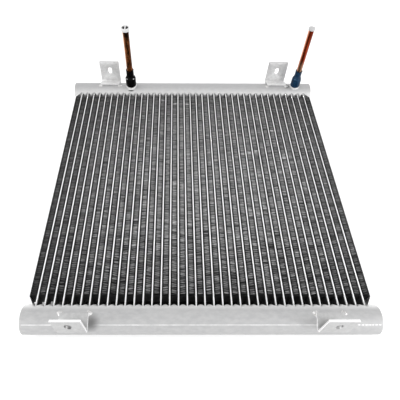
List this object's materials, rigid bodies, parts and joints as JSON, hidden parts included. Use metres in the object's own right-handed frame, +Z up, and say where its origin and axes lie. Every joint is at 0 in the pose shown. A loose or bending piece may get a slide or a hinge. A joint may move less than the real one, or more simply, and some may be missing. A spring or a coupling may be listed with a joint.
{
  "type": "refrigeration condenser",
  "caption": "Parallel-flow refrigeration condenser: flat tubes and folded fins between two round headers, with slotted mounting brackets and capped copper pipe stubs.",
  "frame": {"origin": "bottom centre of the whole part's bounding box, under the flat-lying core", "axes": "+X along the headers to the outlet's side, +Y along the flat tubes to the header with the pipes, +Z up through the core's thin way, as the pipes point"},
  "size_m": [0.387, 0.419, 0.133],
  "materials": {
    "core_aluminium": "matte",
    "fin_aluminium": "matte",
    "header_aluminium": "matte",
    "bracket_aluminium": "matte",
    "stub_aluminium": "matte",
    "dark_copper": "oxidised",
    "bright_copper": "satin",
    "black_sleeve": "gloss",
    "blue_sleeve": "gloss",
    "plug_plastic": "satin"
  },
  "bodies": {
    "root": {"tubes_pass_1": "core_aluminium", "tubes_pass_2": "core_aluminium", "tubes_pass_3": "core_aluminium", "tubes_pass_4": "core_aluminium", "fins_pass_1": "fin_aluminium", "fins_pass_2": "fin_aluminium", "fins_pass_3": "fin_aluminium", "fins_pass_4": "fin_aluminium", "header_front": "header_aluminium", "header_rear": "header_aluminium", "end_cap_front_left": "header_aluminium", "end_cap_front_right": "header_aluminium", "end_cap_rear_left": "header_aluminium", "end_cap_rear_right": "header_aluminium", "baffle_rear_left": "header_aluminium", "baffle_front": "header_aluminium", "baffle_rear_right": "header_aluminium", "side_plate_left": "core_aluminium", "side_plate_right": "core_aluminium", "bracket_front_left": "bracket_aluminium", "bracket_front_right": "bracket_aluminium", "bracket_rear_left": "bracket_aluminium", "bracket_rear_right": "bracket_aluminium", "inlet_stub": "stub_aluminium", "outlet_stub": "stub_aluminium", "inlet_pipe": "dark_copper", "outlet_pipe": "bright_copper", "inlet_sleeve": "black_sleeve", "outlet_sleeve": "blue_sleeve", "inlet_plug": "plug_plastic", "outlet_plug": "plug_plastic"}
  },
  "joints": []
}
